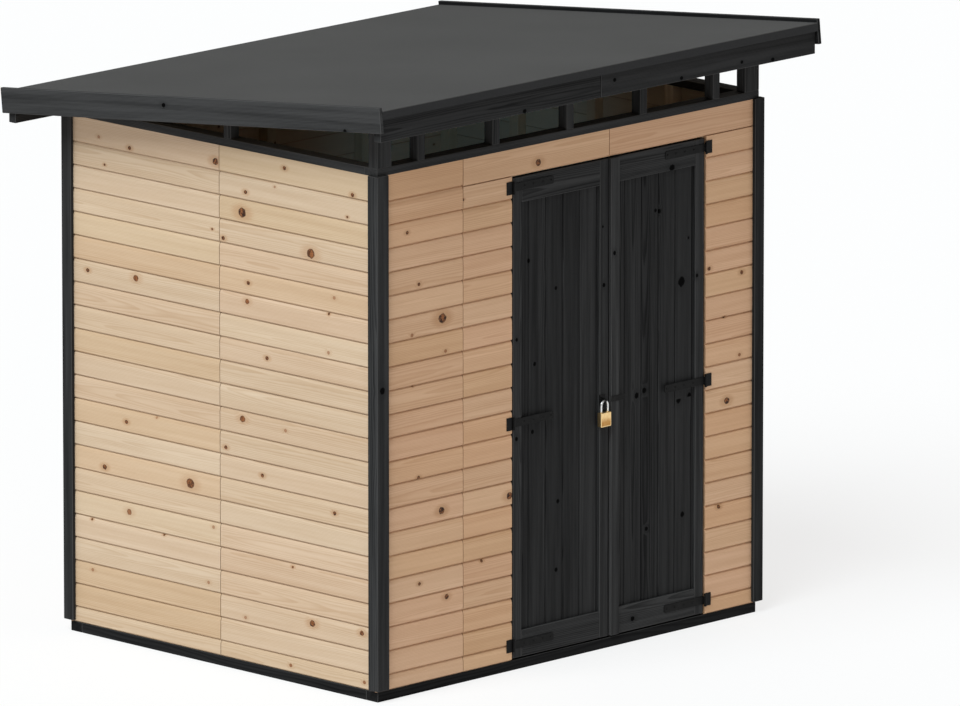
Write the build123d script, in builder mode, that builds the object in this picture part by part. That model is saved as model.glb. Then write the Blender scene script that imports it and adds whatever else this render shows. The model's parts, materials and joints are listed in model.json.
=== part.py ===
"""Wooden garden shed: board walls on a timber frame, double doors and a mono-pitch felt roof.

Millimetres. The origin is on the ground under the middle of the walls, +Z is up, the doors face -Y
and +X runs to the right along the doors.
"""
import os
from math import cos, radians, sin, tan

from build123d import *

# Walls, measured over the outer faces of the boards
length = 2000
depth = 1616
wall_height = 1917
cladding = 18
stud = 45
left_strip = 255
right_strip = 283
header_height = 103
side_joint = 7

# Base and floor
bearer_height = 38
bearer_setback = 4
joist_width = 45
joist_count = 5
floor_thickness = 16

# Studs between the corners, as shares of the half length or half depth
side_stud_shares = (-0.5, 0, 0.5)
back_stud_shares = (-0.5, 0, 0.5)

# Corner trims
trim_leg = 50
wide_trim_leg = 61
trim_thickness = 15
trim_lift = 7
trim_overlap = 3

# Open strip under the roof, with the places of its front studs as shares of the half length
top_rail_height = 30
post_width = 45
corner_post_width = 75
front_stud_width = 37
front_stud_shares = (-0.772, -0.386, 0, 0.386, 0.772)
front_plate_height = 38
side_gap_stud_width = 37
side_gap_stud_offset = -35

# Roof, with heights measured square to its slope
roof_pitch = 6.03
rafter_depth = 55
rafter_width = 45
rafter_bays = 4
deck_thickness = 18
felt_thickness = 3
felt_strip_height = 32
verge_height = 95
verge_thickness = 16
verge_proud = 14
front_overhang = 163
back_overhang = 193
side_overhang = 153
beam_height = 96
beam_thickness = 35
front_beam_setback = 8
back_beam_setback = 29

# Doors
door_opening = 1020
door_gap = 7
door_recess = 2
door_frame = 12
door_board = 16
stile_width = 45
door_top_rail = 95
door_bottom_rail = 100
cover_strip_width = 45
cover_strip_thickness = 8

# Hinges: a cranked strap on the leaf turns on the pin of a plate on the wall
strap_length = 210
strap_height = 30
strap_thickness = 3
strap_tip_radius = 9
plate_width = 30
plate_height = 48
plate_thickness = 3
knuckle_radius = 4.5
knuckle_clearance = 1
pin_radius = 2.5
pin_clearance = 0.05
pivot_out = 6
middle_hinge_height = 930
top_hinge_drop = 34

# Hasp, staple and padlock
lock_height = 941
hasp_length = 71
hasp_height = 22
hasp_thickness = 2
staple_plate_width = 30
staple_plate_height = 44
staple_wire = 6
staple_inset = 33
padlock_width = 54
padlock_height = 54
padlock_thickness = 20
padlock_round = 4
padlock_clearance = 2
shackle_rod = 8
shackle_width = 42
shackle_rise = 46
hang_clearance = 0.3
eye_clearance = 2

# Places worked out from the sizes
wall = cladding + stud
right = length / 2
left = -right
back = depth / 2
front = -back
inside_right = right - wall
inside_back = back - wall
wall_bottom = bearer_height
wall_top = wall_bottom + wall_height
header_bottom = wall_top - header_height
rail_top = wall_top + top_rail_height
opening_right = right - right_strip
opening_left = opening_right - door_opening
front_joint = opening_left - left_strip
roof_front = front - front_overhang
roof_back = back + back_overhang
roof_right = right + side_overhang
deck_right = roof_right - verge_thickness
deck_top = rafter_depth + deck_thickness
felt_top = deck_top + felt_thickness
verge_top = felt_top + verge_proud
leaf_width = (door_opening - 3 * door_gap) / 2
leaf_bottom = wall_bottom + door_gap
leaf_top = header_bottom - door_gap
leaf_front = front + door_recess
leaf_middle = leaf_front + door_frame
leaf_back = leaf_middle + door_board
pivot_y = front - pivot_out
hinge_heights = (leaf_bottom + door_bottom_rail / 2, middle_hinge_height, leaf_top - top_hinge_drop)


def slope_z(y, height):
    """Height above the ground of a point a given height above the rafters' undersides, at y."""
    pitch = radians(roof_pitch)
    return rail_top + (inside_back - y) * tan(pitch) + height / cos(pitch)


def square_band(start, end, low, high):
    """Outline in Y and Z of a roof layer whose ends are cut square to the slope.

    Start and end are where the cuts meet the level of the verge boards' tops.
    """
    lean = sin(radians(roof_pitch))
    corners = ((start, low), (end, low), (end, high), (start, high))
    places = [(y - (verge_top - height) * lean, height) for y, height in corners]
    return [(y, slope_z(y, height)) for y, height in places]


def beam_outline(outer, inner):
    """Outline in Y and Z of a plumb beam under the deck, from its outer face to its inner face."""
    bottom = slope_z(outer, rafter_depth) - beam_height
    top = [(y, slope_z(y, rafter_depth)) for y in (inner, outer)]
    return [(outer, bottom), (inner, bottom), *top]


def save(part, name):
    """Label a finished piece and write it under its name."""
    part.label = name
    export_step(part, f"parts/{name}.step")


def timbers(name, *pieces):
    """Straight timbers, each given by its spans along X, Y and Z."""
    with BuildPart() as node:
        for x, y, z in pieces:
            with BuildSketch(Plane.XY.offset(z[0])):
                with Locations(((x[0] + x[1]) / 2, (y[0] + y[1]) / 2)):
                    Rectangle(abs(x[1] - x[0]), abs(y[1] - y[0]))
            extrude(amount=z[1] - z[0])
    save(node.part, name)


def lengths_along_x(name, outline, *spans):
    """Pieces with one outline in Y and Z, each running over its own span of X."""
    with BuildPart() as node:
        for start, end in spans:
            with BuildSketch(Plane.YZ.offset(start)):
                Polygon(*outline, align=None)
            extrude(amount=end - start)
    save(node.part, name)


def mirrored(span):
    """The same span on the other side of the middle."""
    return (-span[1], -span[0])


def centred(middle, width):
    """A span of the given width about a middle."""
    return (middle - width / 2, middle + width / 2)


def make_base():
    """Bearers round the edge, joists between them and the floor on the joists."""
    low = (0, bearer_height)
    edge_y = (inside_back, back - bearer_setback)
    edge_x = (inside_right, right - bearer_setback)
    along = (left + bearer_setback, right - bearer_setback)
    across = (-inside_back, inside_back)
    timbers("long_bearers", (along, mirrored(edge_y), low), (along, edge_y, low))
    timbers("side_bearers", (mirrored(edge_x), across, low), (edge_x, across, low))
    outer_joist = inside_right - joist_width / 2
    pitch = 2 * outer_joist / (joist_count - 1)
    middles = [-outer_joist + pitch * index for index in range(joist_count)]
    timbers("floor_joists", *[(centred(x, joist_width), across, low) for x in middles])
    boards = (bearer_height, bearer_height + floor_thickness)
    timbers("floor_boards", ((-inside_right, inside_right), across, boards))


def make_cladding():
    """Board panels on the four walls, split beside and over the doorway."""
    full = (wall_bottom, wall_top)
    below_header = (wall_bottom, header_bottom)
    face_front = (front, front + cladding)
    face_back = mirrored(face_front)
    face_left = (left, left + cladding)
    face_right = mirrored(face_left)
    timbers("front_left_panel", ((left, front_joint), face_front, full))
    timbers("front_left_strip", ((front_joint, opening_left), face_front, below_header))
    timbers("front_right_strip", ((opening_right, right), face_front, below_header))
    timbers("front_header", ((front_joint, right), face_front, (header_bottom, wall_top)))
    near = (front + cladding, side_joint)
    far = (side_joint, back - cladding)
    timbers("left_front_panel", (face_left, near, full))
    timbers("left_back_panel", (face_left, far, full))
    timbers("right_front_panel", (face_right, near, full))
    timbers("right_back_panel", (face_right, far, full))
    timbers("back_left_panel", ((left, 0), face_back, full))
    timbers("back_right_panel", ((0, right), face_back, full))


def make_frame():
    """Studs behind the boards, the lintel over the doorway and the rail on top of the walls."""
    full = (wall_bottom, wall_top)
    row_back = (inside_back, inside_back + stud)
    row_front = mirrored(row_back)
    row_right = (inside_right, inside_right + stud)
    row_left = mirrored(row_right)
    studs = [(x, y, full) for x in (row_left, row_right) for y in (row_front, row_back)]
    studs += [(x, centred(share * back, stud), full) for x in (row_left, row_right) for share in side_stud_shares]
    studs += [(centred(share * right, stud), row_back, full) for share in back_stud_shares]
    jambs = ((opening_left - stud, opening_left), (opening_right, opening_right + stud))
    studs += [(x, row_front, full) for x in (centred(front_joint, stud), *jambs)]
    timbers("wall_studs", *studs)
    timbers("door_lintel", ((opening_left, opening_right), row_front, (header_bottom, wall_top)))
    rail = (wall_top, rail_top)
    timbers("front_top_rail", ((left, right), (front, -inside_back), rail))
    timbers("back_top_rail", ((left, right), (inside_back, back), rail))
    across = (-inside_back, inside_back)
    side = (inside_right, right)
    timbers("side_top_rails", (mirrored(side), across, rail), (side, across, rail))


def make_corner_trims():
    """An L-shaped trim on each corner, its legs lying on the boards of both walls."""
    trim_bottom = wall_bottom + trim_lift
    for name, x_side, y_side, x_leg in (
        ("front_left_trim", -1, -1, wide_trim_leg),
        ("front_right_trim", 1, -1, trim_leg),
        ("back_left_trim", -1, 1, trim_leg),
        ("back_right_trim", 1, 1, trim_leg),
    ):
        outer = (x_side * (right + trim_thickness), y_side * (back + trim_thickness))
        inner = (outer[0] - x_side * x_leg, outer[1] - y_side * trim_leg)
        corner = (x_side * right, y_side * back)
        with BuildPart() as trim:
            with BuildSketch(Plane.XY.offset(trim_bottom)):
                Polygon(
                    outer,
                    (inner[0], outer[1]),
                    (inner[0], corner[1]),
                    corner,
                    (corner[0], inner[1]),
                    (outer[0], inner[1]),
                    align=None,
                )
            extrude(amount=wall_top + trim_overlap - trim_bottom)
        save(trim.part, name)


def make_open_strip():
    """Posts and studs over the front rail, the plate on them and a stud in each side gap."""
    plate_top = slope_z(front, 0)
    plate_bottom = plate_top - front_plate_height
    row = (front, front + post_width)
    upright = (rail_top, plate_bottom)
    corner = (right - corner_post_width, right)
    studs = [centred(share * right, front_stud_width) for share in front_stud_shares]
    uprights = [mirrored(corner), *studs, corner]
    timbers("clerestory_posts", *[(x, row, upright) for x in uprights])
    timbers("front_plate", ((left, right), row, (plate_bottom, plate_top)))
    y = centred(side_gap_stud_offset, side_gap_stud_width)
    outline = [(y[0], rail_top), (y[1], rail_top), (y[1], slope_z(y[1], 0)), (y[0], slope_z(y[0], 0))]
    side = (right - post_width, right)
    lengths_along_x("side_gap_studs", outline, mirrored(side), side)


def make_roof():
    """Rafters between two beams, the deck and felt on them and a verge board along each side."""
    front_beam = roof_front + front_beam_setback
    back_beam = roof_back - back_beam_setback
    rafter_ends = (front_beam + beam_thickness, back_beam - beam_thickness)
    plate_top = slope_z(front, 0)
    plate_back = front + post_width
    top = [(y, slope_z(y, rafter_depth)) for y in reversed(rafter_ends)]
    underside = [
        (rafter_ends[0], slope_z(rafter_ends[0], 0)),
        (front, plate_top),
        (plate_back, plate_top),
        (plate_back, slope_z(plate_back, 0)),
        (inside_back, rail_top),
        (back, rail_top),
        (back, slope_z(back, 0)),
        (rafter_ends[1], slope_z(rafter_ends[1], 0)),
    ]
    outer_rafter = right - rafter_width / 2
    pitch = 2 * outer_rafter / rafter_bays
    middles = [-outer_rafter + pitch * index for index in range(rafter_bays + 1)]
    lengths_along_x("rafters", [*underside, *top], *[centred(x, rafter_width) for x in middles])
    across = (-deck_right, deck_right)
    lengths_along_x("front_beam", beam_outline(front_beam, rafter_ends[0]), across)
    lengths_along_x("back_beam", beam_outline(back_beam, rafter_ends[1]), across)
    deck_front = roof_front + felt_thickness
    deck_back = roof_back - felt_thickness
    lengths_along_x("roof_deck", square_band(deck_front, deck_back, rafter_depth, deck_top), across)
    lengths_along_x("roof_felt", square_band(roof_front, roof_back, deck_top, felt_top), across)
    strip_bottom = felt_top - felt_strip_height
    lengths_along_x(
        "front_felt_strip", square_band(roof_front, deck_front, strip_bottom, deck_top), across
    )
    lengths_along_x(
        "back_felt_strip", square_band(deck_back, roof_back, strip_bottom, deck_top), across
    )
    verge = square_band(roof_front, roof_back, verge_top - verge_height, verge_top)
    side = (deck_right, roof_right)
    lengths_along_x("left_verge_board", verge, mirrored(side))
    lengths_along_x("right_verge_board", verge, side)


def make_door(name, hinge_edge, side):
    """One leaf: vertical boards behind a frame of stiles and rails. Side is +1 where it runs to +X."""

    def span(start, end):
        return tuple(sorted((hinge_edge + side * start, hinge_edge + side * end)))

    height = (leaf_bottom, leaf_top)
    frame_row = (leaf_front, leaf_middle)
    timbers(f"{name}_boards", (span(0, leaf_width), (leaf_middle, leaf_back), height))
    timbers(
        f"{name}_stiles",
        (span(0, stile_width), frame_row, height),
        (span(leaf_width - stile_width, leaf_width), frame_row, height),
    )
    between = span(stile_width, leaf_width - stile_width)
    timbers(
        f"{name}_rails",
        (between, frame_row, (leaf_bottom, leaf_bottom + door_bottom_rail)),
        (between, frame_row, (leaf_top - door_top_rail, leaf_top)),
    )


def make_hinge_straps(name, pivot_x, side):
    """Cranked straps of one leaf: a knuckle on the pin, a web back to the leaf and the strap on it."""
    web_near = knuckle_radius - strap_thickness
    strap_end = door_gap / 2 + strap_length
    with BuildPart() as straps:
        for height in hinge_heights:
            with BuildSketch(Plane.XY.offset(height - strap_height / 2)):
                with Locations((pivot_x, pivot_y)):
                    Circle(knuckle_radius)
                with Locations((pivot_x + side * (web_near + knuckle_radius) / 2, (pivot_y + leaf_front) / 2)):
                    Rectangle(strap_thickness, leaf_front - pivot_y)
                with Locations((pivot_x + side * (web_near + strap_end) / 2, leaf_front - strap_thickness / 2)):
                    Rectangle(strap_end - web_near, strap_thickness)
                with Locations((pivot_x, pivot_y)):
                    Circle(pin_radius + pin_clearance, mode=Mode.SUBTRACT)
            extrude(amount=strap_height)
        tips = straps.edges().filter_by(Axis.Y).group_by(Axis.X)[-1 if side > 0 else 0]
        fillet(tips, radius=strap_tip_radius)
    save(straps.part, name)


def make_hinge_plates():
    """Wall plates with two end knuckles and a pin, three beside each edge of the doorway."""
    plate_edge = knuckle_radius + knuckle_clearance
    plate_reach = door_gap / 2 + plate_width
    end_height = (plate_height - strap_height) / 2 - knuckle_clearance
    plate_y = front - plate_thickness / 2
    with BuildPart() as plates:
        for pivot_x, side in ((opening_left + door_gap / 2, 1), (opening_right - door_gap / 2, -1)):
            for height in hinge_heights:
                bottom = height - plate_height / 2
                with BuildSketch(Plane.XY.offset(bottom)):
                    with Locations((pivot_x - side * (plate_reach + plate_edge) / 2, plate_y)):
                        Rectangle(plate_reach - plate_edge, plate_thickness)
                    with Locations((pivot_x, pivot_y)):
                        Circle(pin_radius)
                extrude(amount=plate_height)
                for start in (bottom, bottom + plate_height - end_height):
                    with BuildSketch(Plane.XY.offset(start)):
                        with Locations((pivot_x, pivot_y)):
                            Circle(knuckle_radius)
                        with Locations((pivot_x - side * plate_edge / 2, plate_y)):
                            Rectangle(plate_edge, plate_thickness)
                    extrude(amount=end_height)
    save(plates.part, "hinge_wall_plates")


def make_lock():
    """Hasp plate on the right leaf, and on the left leaf a staple with the padlock hanging in it."""
    meeting_left = opening_left + door_gap + leaf_width
    meeting_right = meeting_left + door_gap
    strip_front = leaf_front - cover_strip_thickness
    height = (leaf_bottom, leaf_top)
    strip = (meeting_right, meeting_right + cover_strip_width)
    timbers("right_door_cover_strip", (strip, (strip_front, leaf_front), height))

    with BuildPart() as hasp:
        with BuildSketch(Plane.XZ.offset(-strip_front)):
            with Locations((meeting_right + hasp_length / 2, lock_height)):
                Rectangle(hasp_length, hasp_height)
        extrude(amount=hasp_thickness)
        tips = hasp.edges().filter_by(Axis.Y).group_by(Axis.X)[-1]
        fillet(tips, radius=hasp_height / 3)
    save(hasp.part, "hasp")

    lock_x = meeting_left - staple_inset
    plate_front = leaf_front - hasp_thickness
    shackle_top = lock_height + shackle_rod / 2
    inner_top = shackle_top - shackle_rod
    low = inner_top - hang_clearance - staple_wire / 2
    high = shackle_top + eye_clearance + staple_wire / 2
    eye_radius = (high - low) / 2
    padlock_y = leaf_front - padlock_clearance - padlock_thickness / 2
    with BuildPart() as staple:
        with BuildSketch(Plane.XZ.offset(-leaf_front)):
            with Locations((lock_x, (low + high) / 2)):
                Rectangle(staple_plate_width, staple_plate_height)
        extrude(amount=hasp_thickness)
        with BuildLine(Plane.YZ.offset(lock_x)) as eye:
            Line((plate_front, low), (padlock_y, low))
            ThreePointArc((padlock_y, low), (padlock_y - eye_radius, (low + high) / 2), (padlock_y, high))
            Line((padlock_y, high), (plate_front, high))
        with BuildSketch(Plane((lock_x, plate_front, low), x_dir=(1, 0, 0), z_dir=(0, -1, 0))):
            Circle(staple_wire / 2)
        sweep(path=eye.wires()[0])
    save(staple.part, "staple")

    body_top = shackle_top - shackle_rise
    with BuildPart() as body:
        with BuildSketch(Plane.XZ.offset(-padlock_y - padlock_thickness / 2)):
            with Locations((lock_x, body_top - padlock_height / 2)):
                RectangleRounded(padlock_width, padlock_height, padlock_round)
        extrude(amount=padlock_thickness)
    save(body.part, "padlock_body")

    bend = (shackle_width - shackle_rod) / 2
    shoulder = shackle_top - shackle_rod / 2 - bend
    with BuildPart() as shackle:
        with BuildLine(Plane.XZ.offset(-padlock_y)) as bow:
            Line((lock_x - bend, body_top), (lock_x - bend, shoulder))
            ThreePointArc((lock_x - bend, shoulder), (lock_x, shoulder + bend), (lock_x + bend, shoulder))
            Line((lock_x + bend, shoulder), (lock_x + bend, body_top))
        with BuildSketch(Plane.XY.offset(body_top)):
            with Locations((lock_x - bend, padlock_y)):
                Circle(shackle_rod / 2)
        sweep(path=bow.wires()[0])
    save(shackle.part, "padlock_shackle")


os.makedirs("parts", exist_ok=True)
make_base()
make_cladding()
make_frame()
make_corner_trims()
make_open_strip()
make_roof()
make_door("left_door", opening_left + door_gap, 1)
make_door("right_door", opening_right - door_gap, -1)
make_hinge_straps("left_hinge_straps", opening_left + door_gap / 2, 1)
make_hinge_straps("right_hinge_straps", opening_right - door_gap / 2, -1)
make_hinge_plates()
make_lock()
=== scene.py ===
"""Looks of a wooden garden shed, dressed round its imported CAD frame.

Pine boards on the walls, black stained trims and doors, a felt roof, black hinges and a brass padlock.
"""
import json
import math
import random

import bmesh
import bpy
from mathutils import Matrix, Vector


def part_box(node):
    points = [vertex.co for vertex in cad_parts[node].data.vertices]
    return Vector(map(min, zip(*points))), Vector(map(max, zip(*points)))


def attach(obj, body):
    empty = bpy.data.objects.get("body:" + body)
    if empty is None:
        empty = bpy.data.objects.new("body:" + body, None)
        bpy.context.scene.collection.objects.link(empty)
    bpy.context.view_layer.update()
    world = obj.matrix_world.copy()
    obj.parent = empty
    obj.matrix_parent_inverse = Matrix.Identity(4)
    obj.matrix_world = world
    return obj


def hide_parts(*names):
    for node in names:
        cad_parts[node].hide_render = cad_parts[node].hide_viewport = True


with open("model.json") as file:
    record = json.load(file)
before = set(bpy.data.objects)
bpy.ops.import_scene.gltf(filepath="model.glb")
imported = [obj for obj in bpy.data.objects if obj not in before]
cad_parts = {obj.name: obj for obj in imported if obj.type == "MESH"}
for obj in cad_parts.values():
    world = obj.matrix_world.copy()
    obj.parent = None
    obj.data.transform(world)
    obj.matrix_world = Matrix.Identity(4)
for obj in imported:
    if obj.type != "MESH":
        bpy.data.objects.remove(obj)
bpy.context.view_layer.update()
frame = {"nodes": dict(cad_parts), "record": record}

bl_info = {
    "name": "Garden shed",
    "version": (1, 0, 0),
    "blender": (4, 5, 0),
    "location": "View3D > Sidebar > Shed",
    "description": "Dresses the frame of a wooden garden shed with boards, stain, felt and ironwork",
    "category": "Object",
}

RECORD = frame["record"]
BODY_OF = {node: body for body, nodes in RECORD["behaviour"]["bodies"].items() for node in nodes}
SLOT_OF = {part["node"]: part["material_slot"] for part in RECORD["subparts"]}
X, Y, Z = Vector((1, 0, 0)), Vector((0, 1, 0)), Vector((0, 0, 1))
# Places near a knot are in its radii: one far from any knot, and how far a knot reaches along the grain.
NO_KNOT, KNOT_REACH = Vector((9, 9, 0)), 5.0
# In metres: the least stretch of board for a knot, how near to an end it is cut, and how far off a board a
# knot of the tables may lie.
LEAST_ZONE, CUT_MARGIN, HOLD_MARGIN = 0.002, 0.001, 0.002
# A rounded board edge: share of its height, and share of its depth that it has fallen back by there.
ROUNDED = ((0.0, 0.0), (0.5, 0.22), (0.8, 0.5), (1.0, 1.0))

# Knots on the sides that face the camera: place along, height and radius in millimetres, darkness 0 to 1.
LEFT_WALL_KNOTS = (
    (638, 1893, 7, 0.4), (476, 1875, 8, 0.9), (608, 1793, 5, 0.9), (26, 1891, 14, 0.9),
    (44, 1636, 5, 0.9), (700, 1382, 8, 0.9), (446, 1391, 13, 0.6), (499, 841, 8, 1.0),
    (341, 882, 5, 0.4), (615, 652, 10, 1.0), (163, 663, 19, 0.7), (486, 503, 12, 0.5),
    (686, 442, 5, 0.9), (306, 446, 5, 0.9), (43, 518, 7, 0.4), (682, 251, 7, 0.4),
    (70, 305, 7, 0.4), (-130, 1800, 8, 0.9), (-112, 1721, 19, 0.9), (-13, 1611, 8, 0.9),
    (-332, 1919, 8, 0.9), (-682, 1871, 8, 0.9), (-655, 1786, 5, 0.9), (-281, 1842, 5, 0.4),
    (-467, 1622, 19, 0.7), (-143, 1463, 8, 0.8), (-137, 1393, 10, 0.6), (-587, 1476, 7, 0.4),
    (-557, 1411, 5, 0.9), (-239, 1197, 8, 0.9), (-557, 1267, 7, 0.4), (-111, 950, 13, 0.6),
    (-334, 941, 7, 0.4), (-23, 829, 8, 0.9), (-213, 754, 8, 0.9), (-587, 673, 8, 0.9),
    (-369, 436, 5, 0.9), (-471, 241, 13, 0.9), (-726, 248, 10, 0.8), (-123, 205, 7, 0.4),
    (-358, 65, 7, 0.5), (-739, 66, 7, 0.5),
)
FRONT_WALL_KNOTS = (
    (-846, 1727, 7, 0.8), (-786, 1527, 7, 0.7), (-665, 1382, 19, 1.0), (-557, 1806, 5, 0.9),
    (-168, 1886, 13, 0.8), (-670, 665, 14, 1.0), (-789, 808, 7, 0.9), (-822, 1343, 7, 0.45),
    (-649, 1257, 7, 0.45), (-815, 1152, 5, 0.45), (-461, 441, 6, 0.9), (-785, 410, 7, 0.9),
    (-644, 338, 10, 0.9), (-317, 662, 14, 0.9), (735, 1350, 8, 0.8), (910, 1309, 8, 0.9),
    (819, 1154, 5, 0.9), (899, 998, 7, 0.5), (832, 834, 13, 0.9), (791, 437, 8, 1.0),
)
LEFT_LEAF_KNOTS = (
    (-204, 1522, 8, 0.6), (-61, 1398, 7, 1.0), (173, 1594, 5, 1.0), (179, 1374, 8, 1.0),
    (-278, 1240, 7, 0.7), (-172, 1131, 8, 0.7), (-183, 878, 8, 1.0), (-279, 868, 8, 0.9),
    (-50, 595, 8, 1.0), (-59, 338, 8, 1.0),
)
RIGHT_LEAF_KNOTS = (
    (539, 1760, 13, 1.0), (464, 1609, 7, 1.0), (485, 1603, 8, 1.0), (602, 1319, 18, 1.0),
    (673, 1333, 7, 1.0), (639, 1479, 5, 1.0), (227, 1488, 8, 0.7), (366, 926, 11, 1.0),
    (406, 939, 11, 1.0), (588, 873, 12, 1.0), (645, 882, 10, 1.0), (610, 436, 10, 1.0),
    (419, 413, 8, 1.0), (334, 88, 10, 1.0),
)
ROOF_EDGE_KNOTS = {
    "left_verge_board": ((139, 2107, 9, 1.0), (-797, 2146, 8, 0.8)),
    "front_beam": ((-397, 2133, 9, 1.0), (72, 2181, 8, 1.0), (424, 2136, 8, 1.0),
                   (909, 2135, 9, 1.0), (744, 2150, 7, 0.7)),
}
# How thickly the stained timbers are coated, by a part of their names, and the coat of the others.
STAIN_COATS = (("door_boards", 0.62), ("cover_strip", 0.17), ("door_rails", 0.345), ("door_stiles", 0.43),
               ("front_left_trim", 0.37), ("front_right_trim", 0.73), ("trim", 0.52), ("left_verge", 0.36),
               ("right_verge", 1.0), ("beam", 0.59), ("posts", 0.44), ("bearers", 1.0), ("joists", 1.0))
PLAIN_COAT = 0.46
# How far the colour of the edges shows on ends, and on rounded edges that face down or up; on the pine and
# the bare timber the darkening of the edges that face down is painted shade, on the stained timbers the
# edges are wear.
PINE_EDGES_SHADED, BARE_EDGES_SHADED = (0.45, 0.42, 0.0), (0.45, 0.3, 0.0)
WORN_EDGES, DARK_EDGES = (0.0, 0.8, 0.8), (0.0, 0.0, 0.0)
# Takes the place of that share on faces that look into the room.
INNER_FACE = -1.0
# How squarely a face has to look along an axis to face it, or to be flat and no rounded edge.
FACING, FLAT = 0.9, 0.93
# Scattered knots to a metre of board, and their least radius and what chance adds to it, in metres.
WALL_KNOTS, FRAME_KNOTS, STAINED_KNOTS, FLOOR_KNOTS = 1.1, 0.9, 0.7, 1.2
KNOT_LEAST, KNOT_SPREAD = 0.0045, 0.015
# Shares of a board: how far scattered knots stay from its ends and its sides, and how wide they may be.
KNOT_INSET, KNOT_ASIDE, KNOT_WIDEST = 0.04, 0.1, 0.3
# How far chance shifts the grain in metres, how it turns boards pink, and how it varies the coats of stain.
GRAIN_SHIFT, PINK_RISE, PINK_START, COAT_LEAST, COAT_SPREAD = 60, 1.8, 0.8, 0.85, 0.3

# Noises in the timber: cycles to a metre along, across and into the grain, then detail and roughness.
WANDER, SWAY = ((0.8, 4.0, 4.0), 2.0, 0.5), ((0.5, 0.4, 0.4), 2.0, 0.5)
WOBBLE, FIBRE = ((6.0, 60.0, 60.0), 2.0, 0.5), ((20.0, 900.0, 900.0), 2.0, 0.6)
STREAK = ((1.4, 48.0, 48.0), 3.0, 0.6)
# The same for knots, whose places are in radii, stretched a little.
RAGGED, MOTTLED = ((1.0, 1.0, 1.0), 2.0, 0.5), ((0.9, 0.9, 0.9), 3.0, 0.6)
# Growth rings, in metres: their spacing, how far the noises and the knots move them, and the heart's place.
RING_SPACING, RING_WANDER, RING_SWAY, RING_WOBBLE, RING_SWELL = 0.0046, 0.045, 0.06, 0.0022, 0.011
HEART_ASIDE, HEART_BEHIND, HEART_LEAST = 0.15, 0.05, 0.014
# Where the late wood of a ring starts, is darkest and ends, as shares of the spacing.
LATE_RISE, LATE_FALL = (0.30, 0.90), (1.0, 0.93)
# Noises in the felt and the metals: cycles to a metre along each axis, then detail and roughness.
GRANULES, CLOUDS = ((420.0, 420.0, 420.0), 2.0, 0.7), ((2.2, 1.2, 2.2), 4.0, 0.55)
DIMPLES, RUBBING = ((260.0, 260.0, 260.0), 2.0, 0.5), ((38.0, 38.0, 38.0), 4.0, 0.6)
BRUSHING, TARNISH = ((60.0, 60.0, 2400.0), 3.0, 0.6), ((70.0, 70.0, 70.0), 4.0, 0.6)
# Specks of the felt to a metre.
SPECKS = 380.0
# How far down the padlock's body it starts to grow darker and is darkest, as shares of the height.
DARKENING_FALL = (0.3, 0.7)

# In a copied node, corners nearer than this and faces at less of a turn are merged, and sharper edges eased.
MERGE_GAP, FLAT_TURN, SHARP_TURN = 1e-5, math.radians(0.5), math.radians(30)
# Turns past which the ironwork and the padlock are shaded as sharp.
IRON_CREASE, BRASS_CREASE = math.radians(28), math.radians(35)
# Screws: places along a strap as shares from its hinge, and shares of the head's radius.
STRAP_SCREWS = (0.3, 0.52, 0.74, 0.94)
SCREW_TOP, SCREW_HEIGHT, SCREW_INSET, SCREW_DISH = 0.62, 0.5, 0.12, 0.1
# The padlock's broad faces as a share of the largest, and its discs as shares of the shackle's rod: radii
# below and above, height and rise.
BROAD = 0.9
COLLAR, KEY_PLUG = (0.72, 0.62, 0.3, 0.1), (0.7, 0.8, 0.2, -0.04)
# The camera's sensor in millimetres, and how far it sees in metres.
SENSOR, SIGHT = 36.0, 1000.0


def length(name, description, default):
    """A size in metres that the user may change."""
    return bpy.props.FloatProperty(name=name, description=description, default=default, precision=4,
                                   unit="LENGTH")


def position(name, description, default):
    """A point in metres that the user may change."""
    return bpy.props.FloatVectorProperty(name=name, description=description, default=default, size=3,
                                         subtype="XYZ", unit="LENGTH")


def number(name, description, default):
    """A plain amount that the user may change."""
    return bpy.props.FloatProperty(name=name, description=description, default=default, precision=4)


def colour(name, description, default):
    """A linear colour that the user may change."""
    return bpy.props.FloatVectorProperty(name=name, description=description, default=default, size=3,
                                         subtype="COLOR", min=0, max=1)


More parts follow.
